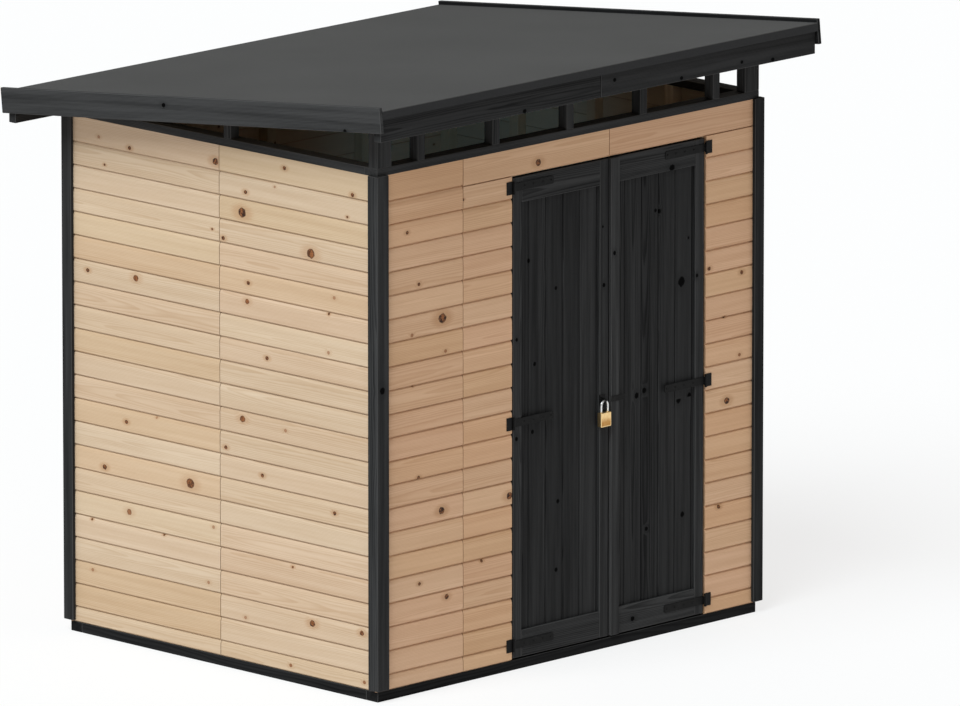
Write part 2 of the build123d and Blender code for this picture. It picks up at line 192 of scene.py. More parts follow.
class ShedBoardSizes(bpy.types.PropertyGroup):
    """Sizes of the boards, of the small edges on the timbers and of the fittings."""

    pitch: length("Board pitch", "Height of wall that one board covers", 0.088)
    groove_rise: length("Groove rise", "Height of the walls' grooves over the line of the door head", 0.0042)
    crown: length("Upper edge", "Height of the rounded upper edge of a wall board", 0.017)
    lip: length("Lower edge", "Height of the rounded lower edge of a wall board", 0.0045)
    groove_depth: length("Groove depth", "How far the rounded edges fall back from the face", 0.0066)
    slot: length("Groove slot", "Open slot at the bottom of each groove", 0.0021)
    slot_depth: length("Slot depth", "How deep the slot goes behind the face", 0.008)
    end_gap: length("End gap", "Gap left at each end of a board", 0.0015)
    header_joint: length("Header joint", "Where the board over the doors is joined, along the front", 0.205)
    door_pitch: length("Door board pitch", "Width of one upright door board", 0.0895)
    left_leaf_groove: length("Left leaf groove", "Place of one groove on the left leaf", -0.026)
    right_leaf_groove: length("Right leaf groove", "Place of one groove on the right leaf", 0.389)
    floor_pitch: length("Floor board pitch", "Width of one floor board", 0.0935)
    deck_pitch: length("Roof board pitch", "Width of one roof board, up the slope", 0.094)
    tight_groove: length("Tight groove", "Rounded edge of the floor and roof boards", 0.0025)
    tight_slot: length("Tight slot", "Slot between the floor and roof boards", 0.0014)
    door_groove: length("Door groove", "Rounded edge of the door boards", 0.0042)
    door_slot: length("Door slot", "Slot between the door boards", 0.0024)
    edge: length("Timber edge", "Worn edge of the stained and bare timbers", 0.0018)
    iron_edge: length("Iron edge", "Eased edge of the ironwork", 0.0005)
    beam_joint: length("Beam joint", "Gap between the two lengths of the front beam", 0.003)
    strap: length("Strap", "Thickness of a hinge strap", 0.003)
    screw: length("Screw head", "Radius of a screw head", 0.0042)
    lock_edge: length("Padlock edge", "Rounded edge of the padlock", 0.0022)
    lock_rim: length("Padlock rim", "Polished rim round the padlock's broad faces", 0.0016)
    lock_dish: length("Padlock dish", "How far those faces lie behind the rim", 0.0003)


class ShedFinishes(bpy.types.PropertyGroup):
    """Colours of the finishes."""

    pine_pale: colour("Pine, pale", "Early wood of the front and back boards", (0.676, 0.449, 0.291))
    pine_deep: colour("Pine, deep", "Late wood of the front and back boards", (0.476, 0.274, 0.149))
    # The side walls' pine is a paler, greyer copy of the front's: painted light, for how the brightly lit
    # left side looks.
    side_pale: colour("Side pine, pale", "Early wood of the side walls' boards", (0.602, 0.470, 0.339))
    side_deep: colour("Side pine, deep", "Late wood of the side walls' boards", (0.425, 0.287, 0.173))
    pine_pink: colour("Pine, pink", "Tint of the pinker boards", (1.0, 0.955, 0.945))
    pine_honey: colour("Pine, honey", "Tint of the yellower boards", (0.985, 0.965, 0.90))
    pine_halo: colour("Pine, knot halo", "Stained wood round a knot", (0.38, 0.19, 0.08))
    # Its darkening of the rounded edges that face down, in the grooves, is painted shade; on board ends it
    # is end grain.
    pine_edge: colour("Pine, edges", "Darker wood in grooves and on board ends", (0.22, 0.115, 0.055))
    knot_red: colour("Knot, red", "Live knots", (0.25, 0.09, 0.03))
    knot_dark: colour("Knot, dark", "Dead knots", (0.030, 0.012, 0.006))
    bare_pale: colour("Bare timber, pale", "Early wood of the timbers inside", (0.77, 0.65, 0.50))
    bare_deep: colour("Bare timber, deep", "Late wood of the timbers inside", (0.60, 0.465, 0.32))
    stain_pale: colour("Black stain, pale", "Stain where the grain shows through", (0.069, 0.069, 0.0695))
    stain_deep: colour("Black stain, deep", "Stain where it lies thick", (0.021, 0.0211, 0.0214))
    stain_coat: colour("Black stain, coats", "Tint of the timbers with the most coats", (0.22, 0.22, 0.225))
    stain_edge: colour("Black stain, edges", "Stain worn thin on the edges", (0.075, 0.074, 0.073))
    stain_knot: colour("Black stain, knots", "Stained knots", (0.0008, 0.0008, 0.0008))
    felt_pale: colour("Felt, pale", "Lighter granules", (0.108, 0.106, 0.104))
    felt_deep: colour("Felt, deep", "Darker granules", (0.047, 0.046, 0.045))
    turned_pale: colour("Turned felt, pale", "Lighter marks on the edge strips", (0.040, 0.040, 0.041))
    turned_deep: colour("Turned felt, deep", "Strips over the edges of the roof", (0.017, 0.017, 0.0175))
    iron_pale: colour("Iron, pale", "Coating on the hinges where it is rubbed", (0.0085, 0.008, 0.0078))
    iron_deep: colour("Iron, deep", "Coating on the hinges", (0.0032, 0.0031, 0.0031))
    brass_pale: colour("Brass, pale", "Polished brass", (0.88, 0.63, 0.31))
    brass_deep: colour("Brass, deep", "Tarnished brass", (0.50, 0.25, 0.07))
    steel_pale: colour("Steel, pale", "Bright steel", (0.82, 0.82, 0.81))
    steel_deep: colour("Steel, deep", "Dull steel", (0.45, 0.45, 0.45))
    ground: colour("Floor", "Pale studio floor", (0.22, 0.22, 0.22))


class ShedStudio(bpy.types.PropertyGroup):
    """Light and camera."""

    sky: number("Sky", "Strength of the even light from all round", 0.35)
    sky_colour: colour("Sky colour", "Colour of the even light", (1.0, 0.97, 0.94))
    glow: number("Floor glow", "Light that the floor itself gives", 0.75)
    key: number("Key light", "Strength of the main light", 3.13)
    key_colour: colour("Key colour", "Colour of the main light", (0.90, 0.97, 1.0))
    key_spread: number("Key spread", "Width of the main light, in degrees", 38.0)
    key_height: number("Key height", "Height of the main light above the horizon, in degrees", 50.0)
    key_side: number("Key side", "Turn of the main light from the left towards the front, in degrees", 10.0)
    fill: number("Fill light", "Power of the weak lamp inside, in watts", 4.7)
    fill_colour: colour("Fill colour", "Colour of the lamp inside", (0.35, 0.71, 1.0))
    fill_place: position("Fill place", "Place of the lamp inside", (-0.2, -0.2, 1.2))
    fill_aim: position("Fill aim", "Point that the lamp inside shines at", (0.98, 0.56, 1.6))
    fill_spread: number("Fill spread", "Width of the lamp's cone inside, in degrees", 62.0)
    fill_blend: number("Fill blend", "Share of that cone over which the light fades", 0.7)
    fill_reach: length("Fill softness", "Radius of the lamp inside", 0.2)
    floor_reach: length("Floor reach", "Half the width of the floor", 220.0)
    lens: number("Lens", "Focal length in millimetres on a 36 mm sensor", 593.1)
    distance: length("Distance", "Camera to target", 58.579)
    azimuth: number("Azimuth", "Turn of the camera round the shed, in degrees", -45.4)
    elevation: number("Elevation", "Height of the camera above the horizon, in degrees", 12.553)
    target: position("Target", "Point that the camera looks at", (0.1751, -0.1711, 1.0196))


class Wire:
    """A socket of a node tree. Sums and products of wires add Math nodes."""

    def __init__(self, tree, socket=None):
        self.tree, self.socket = tree, socket

    def node(self, kind, settings=None, feeds=None, output=0):
        """Adds a node, sets it up, feeds its sockets, and gives one of its outputs."""
        made = self.tree.nodes.new(kind)
        for name, value in (settings or {}).items():
            setattr(made, name, value)
        for place, value in (feeds or {}).items():
            if isinstance(value, Wire):
                self.tree.links.new(value.socket, made.inputs[place])
            else:
                made.inputs[place].default_value = value
        return None if output is None else Wire(self.tree, made.outputs[output])

    def math(self, operation, *values):
        return self.node("ShaderNodeMath", {"operation": operation}, dict(enumerate(values)))

    def __add__(self, other):
        return self.math("ADD", self, other)

    def __radd__(self, other):
        return self.math("ADD", other, self)

    def __sub__(self, other):
        return self.math("SUBTRACT", self, other)

    def __rsub__(self, other):
        return self.math("SUBTRACT", other, self)

    def __mul__(self, other):
        return self.math("MULTIPLY", self, other)

    def __rmul__(self, other):
        return self.math("MULTIPLY", other, self)

    def __truediv__(self, other):
        return self.math("DIVIDE", self, other)

    def exp(self):
        return self.math("EXPONENT", self)

    def root(self):
        return self.math("SQRT", self)

    def part(self):
        """What follows the decimal point."""
        return self.math("FRACT", self)

    def step(self, low, high):
        """Rises smoothly from 0 at low to 1 at high, or falls where low is the greater."""
        return self.node("ShaderNodeMapRange", {"interpolation_type": "SMOOTHSTEP"},
                         {"Value": self, "From Min": low, "From Max": high})

    def axes(self):
        """The three parts of a vector."""
        first = self.node("ShaderNodeSeparateXYZ", None, {0: self})
        return [Wire(self.tree, socket) for socket in first.socket.node.outputs]

    def stretched(self, *scale):
        return self.node("ShaderNodeVectorMath", {"operation": "MULTIPLY"}, {0: self, 1: scale})

    def noise(self, cycles, detail, roughness):
        """Noise from 0 to 1 at this place, with so many cycles to a unit along each axis."""
        return self.node("ShaderNodeTexNoise", None, {"Vector": self.stretched(*cycles), "Scale": 1.0,
                                                      "Detail": detail, "Roughness": roughness})

    def blend(self, first, second, kind="MIX"):
        """First colour where this is 0, second where it is 1."""
        values = [value if isinstance(value, Wire) else (*value, 1.0) for value in (first, second)]
        return self.node("ShaderNodeMix", {"data_type": "RGBA", "blend_type": kind, "clamp_factor": True},
                         {0: self, 6: values[0], 7: values[1]}, 2)


def blank_material(name):
    """A material with an empty tree, and a loose wire to start from."""
    made = bpy.data.materials.new(name)
    made.use_nodes = True
    made.node_tree.nodes.clear()
    return made, Wire(made.node_tree)


def surface(start, settings, height=None, depth=0.001, strength=0.5):
    """Ends a material in a Principled shader, with a bump from a height."""
    feeds = dict(settings)
    if height is not None:
        feeds["Normal"] = start.node("ShaderNodeBump", None,
                                     {"Strength": strength, "Distance": depth, "Height": height})
    shader = start.node("ShaderNodeBsdfPrincipled", None, feeds)
    start.node("ShaderNodeOutputMaterial", None, {"Surface": shader}, None)


def late_wood(grain, tone, near):
    """The dark bands of the growth rings, which swell round a knot."""
    _, across, into = grain.axes()
    warm, heart, _ = tone.axes()
    wander, sway, wobble = [grain.noise(*kind) - 0.5 for kind in (WANDER, SWAY, WOBBLE)]
    from_heart = across + (warm - 0.5) * HEART_ASIDE + wander * RING_WANDER
    into_heart = into + heart * HEART_BEHIND + HEART_LEAST + sway * RING_SWAY
    swell = (near[0] * -0.30 - near[1] * 0.55).exp()
    radius = (from_heart * from_heart + into_heart * into_heart).root()
    radius = radius + swell * RING_SWELL + wobble * RING_WOBBLE
    ring = (radius / RING_SPACING).part()
    return ring.step(*LATE_RISE) * ring.step(*LATE_FALL)


def knotted(wood, knot, tone, near, halo, colours):
    """Wood with its mottled knots and the stained wood round them, and where the knots lie.

    Distances are in radii of the knot.
    """
    darkness = knot.axes()[2]
    ragged = knot.node("ShaderNodeVectorMath", {"operation": "ADD"},
                       {0: knot.stretched(1.7, 1.7, 3.0), 1: tone.stretched(9.0, 9.0, 9.0)})
    rough_edge = (ragged.noise(*RAGGED) - 0.5) * 0.5
    from_core = (near[0] * 0.8 + near[1]).root() + rough_edge
    from_halo = (near[0] * 0.36 + near[1]).root() + rough_edge
    stain = from_halo.step(2.3, 0.9) * darkness
    core = from_core.step(1.05, 0.8) * darkness.step(0.1, 0.6)
    rim = from_core.step(0.6, 0.92) * from_core.step(1.2, 0.98)
    mottle = ragged.noise(*MOTTLED).step(0.42, 0.56)
    heartwood = (mottle * darkness.step(0.3, 0.9)).blend(*colours)
    heartwood = (rim * darkness).blend(heartwood, colours[1])
    wood = (stain * 0.5).blend(wood, halo)
    return core.blend(wood, heartwood), core


def timber(name, pale, deep, tints, edge_colour, inner, halo, knots, rings=0.3, streaks=0.9, fibres=0.35,
           gloss=0.14):
    """Softwood with growth rings that run round the knots.

    The attributes tone and knot tell boards apart, and edge says where rounded edges and inner faces are;
    where edges that face down take more of the edge colour than those that face up, that is painted shade in
    the grooves.
    """
    made, start = blank_material(name)
    grain, tone, knot = [start.node("ShaderNodeAttribute", {"attribute_name": layer}, output="Vector")
                         for layer in ("grain", "tone", "knot")]
    edge = start.node("ShaderNodeAttribute", {"attribute_name": "edge"}, output="Fac")
    warm, heart, tint = tone.axes()
    near = [part * part for part in knot.axes()[:2]]
    late = late_wood(grain, tone, near)
    streak, fibre = grain.noise(*STREAK), grain.noise(*FIBRE)
    shade = late * rings + (streak - 0.5) * streaks + (fibre - 0.5) * fibres + (heart - 0.5) * 0.25 + 0.28
    wood = shade.blend(pale, deep)
    wood = warm.step(0.35, 1.0).blend(wood, tints[1], "MULTIPLY")
    wood = tint.blend(wood, tints[0], "MULTIPLY")
    # Ends and rounded edges take the edge colour: end grain and worn stain, and painted shade on the edges
    # that face down in the pine and bare timber.
    wood = (edge * (0.75 + (streak - 0.5) * 0.8)).blend(wood, edge_colour)
    wood = (edge * (0.55 * INNER_FACE)).blend(wood, inner)
    wood, core = knotted(wood, knot, tone, near, halo, knots)
    height = late * 0.5 + fibre * 0.35 - core * 0.2
    dull = 0.52 + (fibre - 0.5) * 0.2 + late * 0.06 - core * 0.12
    surface(start, {"Base Color": wood, "Roughness": dull, "Specular IOR Level": gloss},
            height, depth=0.0008, strength=0.4)
    return made


def unstained(look, name, pale, deep, edge_colour, **amounts):
    """Timber with the tints and knots that all unstained wood shares."""
    tints, knots = (look.pine_pink, look.pine_honey), (look.knot_red, look.knot_dark)
    return timber(name, pale, deep, tints, edge_colour, look.bare_pale, look.pine_halo, knots, **amounts)


def planed_pine(look):
    """Boards of the front and back walls."""
    return unstained(look, "planed_pine", look.pine_pale, look.pine_deep, look.pine_edge)


def lit_side_pine(look):
    """Boards of the side walls, in a paler and greyer copy of the pine: painted light, for how the brightly
    lit left side looks.
    """
    return unstained(look, "lit_side_pine", look.side_pale, look.side_deep, look.pine_edge)


def bare_softwood(look):
    """Timbers and boards inside."""
    # The late wood's colour also serves for the board ends and, as painted shade, for the rounded edges that
    # face down.
    return unstained(look, "bare_softwood", look.bare_pale, look.bare_deep, look.bare_deep, rings=0.42,
                     streaks=0.7)


def black_stain(look):
    """Stained timbers, whose tint stands for their coats."""
    untinted = (1.0, 1.0, 1.0)
    return timber("black_stain", look.stain_pale, look.stain_deep, (look.stain_coat, untinted),
                  look.stain_edge, look.stain_pale, look.stain_deep, (look.stain_knot, look.stain_knot),
                  rings=0.5, streaks=1.7, fibres=0.5, gloss=0.015)


def felt(name, pale, deep):
    """Mineral felt: fine granules on a mottled grey sheet."""
    made, start = blank_material(name)
    place = start.node("ShaderNodeTexCoord", output="Object")
    granules, clouds = place.noise(*GRANULES), place.noise(*CLOUDS)
    specks = start.node("ShaderNodeTexVoronoi", None, {"Vector": place, "Scale": SPECKS}, "Color").axes()[0]
    shade = granules * 0.55 + specks * 0.35 + (clouds - 0.5) * 0.35
    dull = 0.82 + (specks - 0.5) * 0.2
    surface(start, {"Base Color": shade.blend(deep, pale), "Roughness": dull, "Specular IOR Level": 0.1},
            granules + specks * 0.6, depth=0.0008, strength=0.5)
    return made


def mineral_felt(look):
    """Felt on the slope."""
    return felt("mineral_felt", look.felt_pale, look.felt_deep)


def turned_felt(look):
    """Felt turned down over the edges."""
    return felt("turned_felt", look.turned_pale, look.turned_deep)


def coated_iron(look):
    """Black coating on rolled steel, a little rubbed."""
    made, start = blank_material("coated_iron")
    place = start.node("ShaderNodeTexCoord", output="Object")
    dimples, rubbed = place.noise(*DIMPLES), place.noise(*RUBBING)
    shade = rubbed.step(0.45, 0.8).blend(look.iron_deep, look.iron_pale)
    dull = 0.55 + (dimples - 0.5) * 0.25
    surface(start, {"Base Color": shade, "Roughness": dull, "Specular IOR Level": 0.14},
            dimples, depth=0.0005, strength=0.4)
    return made


def brushed(name, pale, deep, dull, spots, fall=None):
    """Brushed metal with spots of tarnish; it may also grow darker down a fall, and then keeps a rim pale:
    polished, and partly a painted highlight.
    """
    made, start = blank_material(name)
    place = start.node("ShaderNodeTexCoord", output="Object")
    lines, tarnish = place.noise(*BRUSHING), place.noise(*TARNISH)
    shade = tarnish.step(0.42, 0.75) * spots + (lines - 0.5) * 0.3
    if fall:
        rim = start.node("ShaderNodeAttribute", {"attribute_name": "rim"}, output="Fac")
        # The rim is kept pale and unmarked: polished brass, and partly a painted highlight on its rounded
        # edges.
        shade = (shade + place.axes()[2].step(*fall) * 0.9) * (1 - rim)
    rough = dull + (lines - 0.5) * 0.2 + (tarnish - 0.5) * 0.15
    surface(start, {"Base Color": shade.blend(pale, deep), "Metallic": 1.0, "Roughness": rough},
            lines, depth=0.0002, strength=0.2)
    return made


def brushed_brass(look):
    """The padlock's body, darker towards its foot."""
    low, high = (corner.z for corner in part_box("padlock_body"))
    fall = [high - (high - low) * share for share in DARKENING_FALL]
    return brushed("brushed_brass", look.brass_pale, look.brass_deep, dull=0.36, spots=0.3, fall=fall)


def bright_steel(look):
    """The padlock's shackle."""
    return brushed("bright_steel", look.steel_pale, look.steel_deep, dull=0.36, spots=0.4)


FINISH_OF_SLOT = {"pine_boards": planed_pine, "bare_timber": bare_softwood, "dark_timber": black_stain,
                  "roofing_felt": mineral_felt, "black_iron": coated_iron, "brass": brushed_brass,
                  "steel": bright_steel}


def finish(node, maker=None):
    """A node's material, by its slot in the record or by a named maker; made when first asked for."""
    maker = maker or FINISH_OF_SLOT[SLOT_OF[node]]
    return bpy.data.materials.get(maker.__name__) or maker(bpy.context.scene.shed_finishes)


def add_piece(bm, name, node, maker=None):
    """Makes an object of a bmesh, which stands for a node and moves with its body."""
    mesh = bpy.data.meshes.new(name)
    bm.to_mesh(mesh)
    bm.free()
    piece = bpy.data.objects.new(name, mesh)
    bpy.context.scene.collection.objects.link(piece)
    mesh.materials.append(finish(node, maker))
    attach(piece, BODY_OF[node])
    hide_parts(node)
    return piece


def copied(node):
    """A bmesh of a node, with its triangles merged into whole faces."""
    mesh = frame["nodes"][node].data.copy()
    mesh.attributes.remove(mesh.attributes["custom_normal"])
    bm = bmesh.new()
    bm.from_mesh(mesh)
    bpy.data.meshes.remove(mesh)
    bmesh.ops.remove_doubles(bm, verts=bm.verts, dist=MERGE_GAP)
    bmesh.ops.dissolve_limit(bm, angle_limit=FLAT_TURN, verts=bm.verts, edges=bm.edges)
    return bm


def ease_edges(bm, width, segments=1):
    """Takes the sharp edges off."""
    sharp = [edge for edge in bm.edges if edge.is_manifold and edge.calc_face_angle() > SHARP_TURN]
    bmesh.ops.bevel(bm, geom=sharp, offset=width, offset_type="OFFSET", affect="EDGES", segments=segments,
                    profile=0.5, material=-1, clamp_overlap=True)


def add_plank(bm, axes, span, low, high, skins, profile, crowned):
    """One board: its cross-section is drawn at one end and pulled out to the other."""
    along, across, outward = axes
    back, face = skins
    lip, crown, fall, slot, slot_depth, ease = profile
    start = low + slot
    section = [(start + lip, face)]
    if crowned:
        section += [(high - crown * (1 - share), face - fall * drop) for share, drop in ROUNDED]
    else:
        section.append((high, face))
    section += [(high, back + ease), (high - ease, back), (low + ease, back), (low, back + ease)]
    section += [(low, face - slot_depth), (start, face - slot_depth)]
    section += [(start + lip * (1 - share), face - fall * drop) for share, drop in reversed(ROUNDED[1:])]
    end = bm.faces.new([bm.verts.new(along * span[0] + across * a + outward * o) for a, o in section])
    pulled = bmesh.ops.extrude_face_region(bm, geom=[end])["geom"]
    bmesh.ops.translate(bm, verts=[v for v in pulled if isinstance(v, bmesh.types.BMVert)],
                        vec=along * (span[1] - span[0]))


def reach(node, axis):
    """How far a node goes, back and forth, along an axis."""
    places = [v.co.dot(axis) for v in frame["nodes"][node].data.vertices]
    return min(places), max(places)


def steps_from(start, pitch, low, high, least=0.012):
    """The edges of a row of boards: low, high, and the steps from a start that lie between them."""
    first = math.ceil((low + least - start) / pitch)
    last = math.floor((high - least - start) / pitch)
    return [low, *[start + pitch * index for index in range(first, last + 1)], high]


def add_boards(bm, node, axes, start, pitch, sizes, joints=(), tight=None):
    """Lays a row of boards in the place of a node, with wide grooves or with a tight groove and slot."""
    along, across, outward = axes
    back, face = reach(node, outward)
    ends = reach(node, along)
    stops = [ends[0], *joints, ends[1]]
    edges = steps_from(start, pitch, *reach(node, across))
    if tight:
        groove, slot = tight
        profile = (groove, groove, groove, slot, min(sizes.slot_depth, (face - back) / 2), sizes.edge)
    else:
        profile = (sizes.lip, sizes.crown, sizes.groove_depth, sizes.slot, sizes.slot_depth, sizes.edge)
    for low, high in zip(edges, edges[1:]):
        for near, far in zip(stops, stops[1:]):
            span = (near + sizes.end_gap, far - sizes.end_gap)
            add_plank(bm, axes, span, low, high, (back, face), profile, high < edges[-1])
    bmesh.ops.recalc_face_normals(bm, faces=bm.faces)


def islands(bm):
    """The separate solids of a bmesh, each as a list of faces."""
    seen, found = set(), []
    for face in bm.faces:
        if face in seen:
            continue
        seen.add(face)
        group, waiting = [], [face]
        while waiting:
            current = waiting.pop()
            group.append(current)
            for edge in current.edges:
                for other in edge.link_faces:
                    if other not in seen:
                        seen.add(other)
                        waiting.append(other)
        found.append(group)
    return found


def direction(vector):
    """A unit vector that doesn't depend on which end an edge starts from."""
    unit = vector.normalized()
    leading = max(range(3), key=lambda index: round(abs(unit[index]), 3))
    return unit if unit[leading] > 0 else -unit


def edge_rank(edge):
    """Ranks edges by length, and equal ones by place."""
    return round(edge.calc_length(), 5), round(edge.verts[0].co.dot(X + Y * 2), 4)


def face_rank(face):
    """Ranks faces by area, and equal ones by where they look."""
    return round(face.calc_area(), 6), round(face.normal.dot(X + Y * 2 + Z), 3)


class Solid:
    """One solid of a piece, with the axes of its grain and how far it goes along them."""

    def __init__(self, faces):
        self.faces = faces
        longest = max({edge for face in faces for edge in face.edges}, key=edge_rank)
        self.along = direction(longest.verts[1].co - longest.verts[0].co)
        self.out = direction(max(faces, key=face_rank).normal)
        self.across = self.out.cross(self.along).normalized()
        self.axes = (self.along, self.across, self.out)
        self.spans = [self.reach(axis) for axis in self.axes]
        self.ends, self.sides, self.skins = self.spans

    def reach(self, axis):
        places = [vert.co.dot(axis) for face in self.faces for vert in face.verts]
        return min(places), max(places)

    def order(self):
        return tuple(round(sum(span) / 2, 3) for span in self.spans)

    def holds(self, point):
        return all(low - HOLD_MARGIN <= point.dot(axis) <= high + HOLD_MARGIN
                   for axis, (low, high) in zip(self.axes, self.spans))


def scattered(solid, rng, density):
    """Knots at random along a solid, seldom large: point, radius, darkness."""
    (start, stop), (low, high) = solid.ends, solid.sides
    run, width = stop - start, high - low
    found = []
    for _ in range(int(run * density + rng.random())):
        size = min(KNOT_LEAST + KNOT_SPREAD * rng.random() ** 4, width * KNOT_WIDEST)
        place = rng.uniform(start + KNOT_INSET * run, stop - KNOT_INSET * run)
        side = rng.uniform(low + KNOT_ASIDE * width, high - KNOT_ASIDE * width)
        point = solid.along * place + solid.across * side + solid.out * sum(solid.skins) / 2
        found.append((point, size, rng.uniform(0.5, 1.0)))
    return found


def knot_zones(solid, knots):
    """The stretch of a solid for each of its knots: two ends, place along and across, radius, darkness."""
    start, stop = solid.ends
    own = sorted((point.dot(solid.along), point.dot(solid.across), *rest) for point, *rest in knots)
    middles = [(first[0] + second[0]) / 2 for first, second in zip(own, own[1:])]
    zones = []
    for (place, side, size, dark), least, most in zip(own, [start, *middles], [*middles, stop]):
        low = max(place - KNOT_REACH * size, least, start)
        high = min(place + KNOT_REACH * size, most, stop)
        if high - low > LEAST_ZONE:
            zones.append((low, high, place, side, size, dark))
    return zones


def cut_at(bm, solid, place):
    """Cuts the faces of a solid across its grain, so that a knot can have faces of its own."""
    geometry = dict.fromkeys(item for face in solid.faces for item in (face, *face.edges, *face.verts))
    cut = bmesh.ops.bisect_plane(bm, geom=list(geometry), plane_co=solid.along * place, plane_no=solid.along)
    fresh = [item for item in cut["geom"] if isinstance(item, bmesh.types.BMFace)]
    solid.faces = [face for face in dict.fromkeys([*solid.faces, *fresh]) if face.is_valid]


def edge_share(solid, face, edges, inward):
    """How far a face shows the colour of edges, or the mark of a face that looks into the room."""
    ends, downward_shade_and_wear, upward = edges
    if inward and face.normal.dot(inward) > FACING:
        return INNER_FACE
    if abs(face.normal.dot(solid.along)) > FACING:
        return ends
    flattest = max(abs(face.normal.dot(axis)) for axis in (solid.across, solid.out))
    if flattest > FLAT:
        return 0.0
    # Edges that face down may take more of the edge colour than those that face up: painted shade.
    return downward_shade_and_wear if face.normal.z < 0 else upward


def dress(bm, seed, knots=(), density=0.0, edges=BARE_EDGES_SHADED, tint=None, inward=None):
    """Draws each solid's grain, tone and knots from one seed, and writes them on its faces' corners."""
    rng = random.Random(seed)
    plans = []
    for solid in sorted((Solid(faces) for faces in islands(bm)), key=Solid.order):
        own = [knot for knot in knots if solid.holds(knot[0])]
        if density:
            own += scattered(solid, rng, density)
        zones = knot_zones(solid, own)
        for cut in sorted({end for zone in zones for end in zone[:2]}):
            if solid.ends[0] + CUT_MARGIN < cut < solid.ends[1] - CUT_MARGIN:
                cut_at(bm, solid, cut)
        shift = Vector((rng.uniform(0, GRAIN_SHIFT), 0, 0))
        tone = Vector((rng.random(), rng.random(), rng.random()))
        if tint is None:
            tone.z = max(0.0, tone.z * PINK_RISE - PINK_START)
        else:
            tone.z = tint * (COAT_LEAST + COAT_SPREAD * tone.z)
        plans.append((solid, zones, shift, tone))
    write_layers(bm, plans, edges, inward)


def write_layers(bm, plans, edges, inward):
    """Writes the attributes that the timber reads."""
    vectors = bm.loops.layers.float_vector
    grain_layer, tone_layer, knot_layer = [vectors.new(name) for name in ("grain", "tone", "knot")]
    edge_layer = bm.loops.layers.float.new("edge")
    for solid, zones, shift, tone in plans:
        middle = Vector([sum(span) / 2 for span in solid.spans])
        for face in solid.faces:
            centre = face.calc_center_median().dot(solid.along)
            found = next((zone for zone in zones if zone[0] <= centre <= zone[1]), None)
            edge = edge_share(solid, face, edges, inward)
            for loop in face.loops:
                spot = Vector([loop.vert.co.dot(axis) for axis in solid.axes])
                loop[grain_layer] = spot - middle + shift
                loop[tone_layer] = tone
                loop[edge_layer] = edge
                loop[knot_layer] = NO_KNOT
                if found:
                    _, _, place, side, size, dark = found
                    loop[knot_layer] = Vector(((spot.x - place) / size, (spot.y - side) / size, dark))


def coats(node):
    """How thickly a stained timber is coated, from 0 to 1."""
    return next((share for part, share in STAIN_COATS if part in node), PLAIN_COAT)


def knots_on(places, along, plane):
    """Knots of a table, with each point set along a wall and up it, in its plane."""
    return [(along * (place / 1000) + Z * (height / 1000) + plane, size / 1000, dark)
            for place, height, size, dark in places]


class SHED_OT_wall_boards(bpy.types.Operator):
    """Lays horizontal pine boards on the four walls"""

    bl_idname = "shed.wall_boards"
    bl_label = "Wall boards"

    def execute(self, context):
        sizes = context.scene.shed_boards
        top_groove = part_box("front_header")[0].z + sizes.groove_rise
        for node in [part["node"] for part in RECORD["subparts"] if part["material_slot"] == "pine_boards"]:
            low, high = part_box(node)
            thin = 0 if high.x - low.x < high.y - low.y else 1
            side = 1 if low[thin] > 0 else -1
            along, outward = (Y, X * side) if thin == 0 else (X, Y * side)
            bm = bmesh.new()
            joints = [sizes.header_joint] if node == "front_header" else []
            add_boards(bm, node, (along, Z, outward), top_groove, sizes.pitch, sizes, joints)
            middle = outward * sum(reach(node, outward)) / 2
            if side < 0:
                shown = LEFT_WALL_KNOTS if thin == 0 else FRONT_WALL_KNOTS
                dress(bm, node, knots_on(shown, along, middle), edges=PINE_EDGES_SHADED, inward=-outward)
            else:
                dress(bm, node, density=WALL_KNOTS, edges=PINE_EDGES_SHADED, inward=-outward)
            # The side walls take the paler, greyer copy of the pine: painted light.
            add_piece(bm, node + "_boards", node, lit_side_pine if thin == 0 else planed_pine)
        return {"FINISHED"}


class SHED_OT_framing(bpy.types.Operator):
    """Makes the bare studs, the lintel and the rafters"""

    bl_idname = "shed.framing"
    bl_label = "Framing"

    def execute(self, context):
        for node in ("wall_studs", "door_lintel", "rafters"):
            bm = copied(node)
            ease_edges(bm, context.scene.shed_boards.edge)
            dress(bm, node, density=FRAME_KNOTS)
            add_piece(bm, node + "_timber", node)
        return {"FINISHED"}


def part_beam(bm, gap):
    """Parts a beam across its middle and closes the two new ends."""
    for place in (-gap / 2, gap / 2):
        bmesh.ops.bisect_plane(bm, geom=[*bm.verts, *bm.edges, *bm.faces], plane_co=X * place, plane_no=X)
    between = [face for face in bm.faces if abs(face.calc_center_median().x) < gap / 4]
    bmesh.ops.delete(bm, geom=between, context="FACES")
    bmesh.ops.holes_fill(bm, edges=[edge for edge in bm.edges if edge.is_boundary], sides=0)
    bmesh.ops.recalc_face_normals(bm, faces=bm.faces)


class SHED_OT_dark_timbers(bpy.types.Operator):
    """Makes the black stained timbers of the base, the corners, the open strip and the roof's edges"""

    bl_idname = "shed.dark_timbers"
    bl_label = "Dark timbers"

    def execute(self, context):
        sizes = context.scene.shed_boards
        for node, slot in SLOT_OF.items():
            if slot != "dark_timber" or BODY_OF[node] != "shed":
                continue
            bm = copied(node)
            if node == "front_beam":
                part_beam(bm, sizes.beam_joint)
            ease_edges(bm, sizes.edge)
            along, thin = (Y, X) if "verge" in node else (X, Y)
            shown = knots_on(ROOF_EDGE_KNOTS.get(node, ()), along, thin * sum(reach(node, thin)) / 2)
            dress(bm, node, shown, 0.0 if shown else STAINED_KNOTS, WORN_EDGES, coats(node))
            add_piece(bm, node + "_timber", node)
        return {"FINISHED"}


